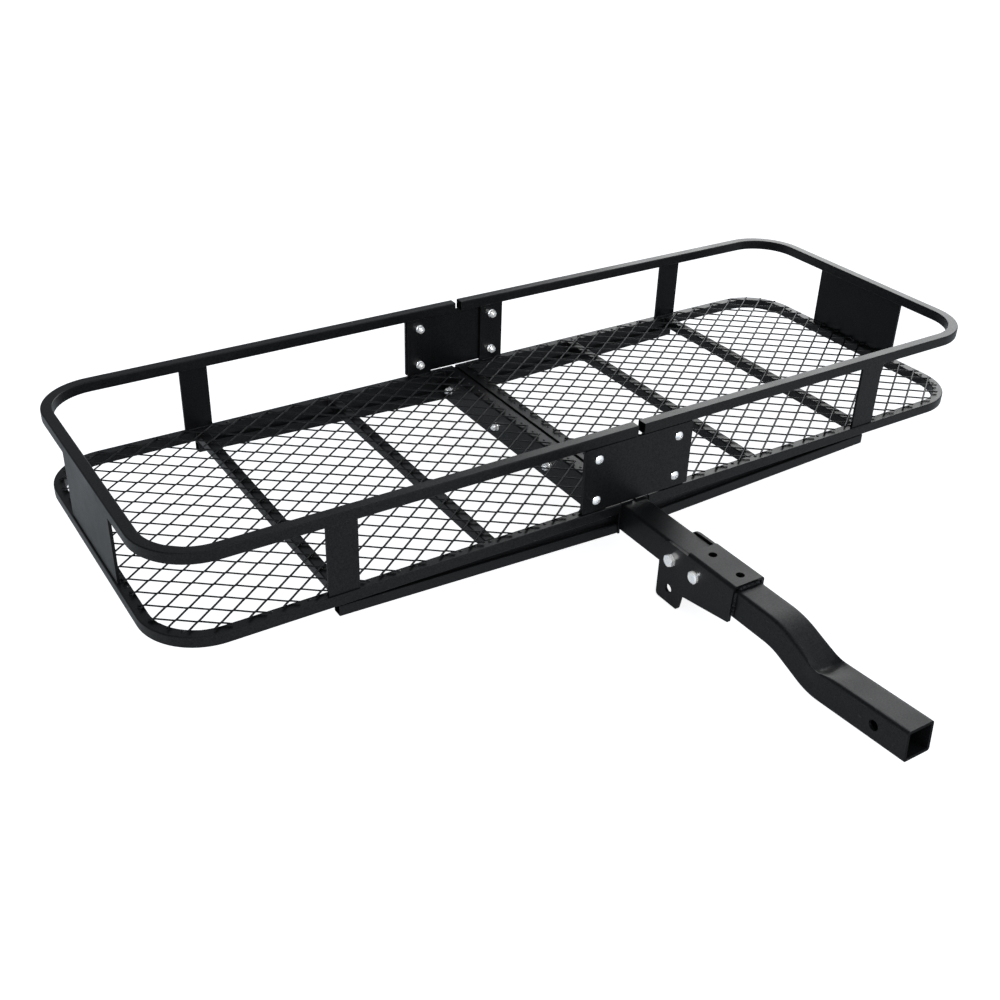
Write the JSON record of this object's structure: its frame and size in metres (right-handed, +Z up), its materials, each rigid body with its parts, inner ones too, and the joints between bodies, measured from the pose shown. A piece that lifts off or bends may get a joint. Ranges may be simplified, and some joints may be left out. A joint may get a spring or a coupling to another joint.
{
  "type": "hitch cargo carrier",
  "caption": "Folding steel basket cargo carrier for a 2 in receiver hitch, with an expanded metal floor, a raised rim and a bent shank.",
  "frame": {"origin": "centre of the hitch pin hole, on the axis of the shank's receiver end", "axes": "+X along the basket's length, +Y away from the vehicle, +Z up, basket floor level"},
  "size_m": [1.64, 1.2327, 0.2548],
  "materials": {
    "black_frame": "satin black powder coat",
    "black_mesh": "satin black powder coat",
    "black_hitch_steel": "satin black powder coat",
    "zinc_hardware": "bright zinc plate"
  },
  "bodies": {
    "hitch": {"shank": "black_hitch_steel", "hinge_bracket": "black_hitch_steel", "pivot_bolt": "zinc_hardware", "pivot_nut": "zinc_hardware", "pivot_washer": "zinc_hardware", "stop_bolt": "zinc_hardware", "stop_nut": "zinc_hardware", "stop_washer": "zinc_hardware"},
    "basket": {"left_upper_rail": "black_frame", "left_lower_rail": "black_frame", "left_end_plate": "black_frame", "left_front_post": "black_frame", "left_rear_post": "black_frame", "left_front_splice_post": "black_frame", "left_rear_splice_post": "black_frame", "left_front_under_rail": "black_frame", "left_rear_under_rail": "black_frame", "left_outer_cross_bar": "black_frame", "left_inner_cross_bar": "black_frame", "left_centre_angle": "black_frame", "left_floor_mesh": "black_mesh", "right_upper_rail": "black_frame", "right_lower_rail": "black_frame", "right_end_plate": "black_frame", "right_front_post": "black_frame", "right_rear_post": "black_frame", "right_front_splice_post": "black_frame", "right_rear_splice_post": "black_frame", "right_front_under_rail": "black_frame", "right_rear_under_rail": "black_frame", "right_outer_cross_bar": "black_frame", "right_inner_cross_bar": "black_frame", "right_centre_angle": "black_frame", "right_floor_mesh": "black_mesh", "front_splice_plate": "black_frame", "rear_splice_plate": "black_frame", "centre_tube": "black_hitch_steel", "splice_bolts": "zinc_hardware", "splice_washers": "zinc_hardware", "splice_nuts": "zinc_hardware", "tray_bolts": "zinc_hardware", "tray_washers": "zinc_hardware", "tray_nuts": "zinc_hardware"}
  },
  "joints": [
    {"name": "basket_fold", "type": "hinge", "parent": "hitch", "child": "basket", "pos_m": [0, 0.4314, 0.021], "axis": [1, 0, 0], "range_deg": [0, 90]}
  ]
}
